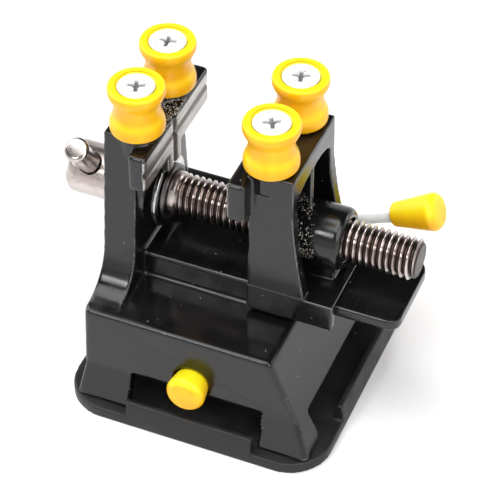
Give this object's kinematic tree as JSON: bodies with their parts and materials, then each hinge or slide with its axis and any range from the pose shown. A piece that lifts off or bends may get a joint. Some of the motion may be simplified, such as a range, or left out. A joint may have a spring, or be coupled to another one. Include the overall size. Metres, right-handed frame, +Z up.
{
  "type": "pcb holder vise",
  "caption": "Small bench vise with a suction base: a screw closes the jaws on a circuit board, which plastic spool pegs on top can also hold.",
  "frame": {"origin": "centre of the suction pad's flat underside", "axes": "+X along the lead screw from its cross-drilled head to its free end, +Z up from the table, +Y towards the side where the lever comes up"},
  "size_m": [0.0817, 0.0674, 0.078],
  "materials": {
    "black_paint": "semi-gloss black paint on a zinc casting",
    "yellow_plastic": "glossy moulded yellow plastic",
    "zinc_plate": "bright zinc plate",
    "nickel_plate": "satin nickel plate",
    "chrome_plate": "bright chrome plate",
    "spring_steel": "dark oiled spring steel",
    "rubber": "matte black rubber",
    "grey_plastic": "matte grey plastic"
  },
  "bodies": {
    "base": {"base_casting": "black_paint", "peg_fixed_front": "yellow_plastic", "peg_fixed_back": "yellow_plastic", "peg_screw_fixed_front": "zinc_plate", "peg_screw_fixed_back": "zinc_plate", "thrust_washer": "chrome_plate", "suction_pad": "rubber"},
    "jaw": {"movable_jaw": "black_paint", "peg_moving_front": "yellow_plastic", "peg_moving_back": "yellow_plastic", "peg_screw_moving_front": "zinc_plate", "peg_screw_moving_back": "zinc_plate"},
    "screw": {"lead_screw": "nickel_plate", "retaining_clip": "spring_steel"},
    "bar": {"tommy_bar": "nickel_plate"},
    "lever": {"lever_rod": "chrome_plate", "lever_cam": "grey_plastic", "lever_cap": "yellow_plastic", "shaft_cap": "yellow_plastic"},
    "stem": {"pad_stem": "zinc_plate"}
  },
  "joints": [
    {"name": "jaw_slide", "type": "slide", "parent": "base", "child": "jaw", "axis": [1, 0, 0], "range_m": [-0.0176, 0.014]},
    {"name": "screw_turn", "type": "hinge", "parent": "base", "child": "screw", "pos_m": [-0.03, 0, 0.0428], "axis": [1, 0, 0], "range_deg": [-3361, 4225]},
    {"name": "tommy_bar_slide", "type": "slide", "parent": "screw", "child": "bar", "axis": [0, -0.5736, 0.8192], "range_m": [-0.009, 0.025]},
    {"name": "suction_lever", "type": "hinge", "parent": "base", "child": "lever", "pos_m": [-0.0012, 0, 0.0136], "axis": [0, -1, 0], "range_deg": [0, 134]},
    {"name": "stem_lift", "type": "slide", "parent": "base", "child": "stem", "axis": [0, 0, 1], "range_m": [0, 0.0026]}
  ],
  "couplings": [
    {"joint": "screw_turn", "follows": "jaw_slide", "rad_per_m": -4188.8},
    {"joint": "stem_lift", "follows": "suction_lever", "m_per_rad": 0.0011}
  ]
}
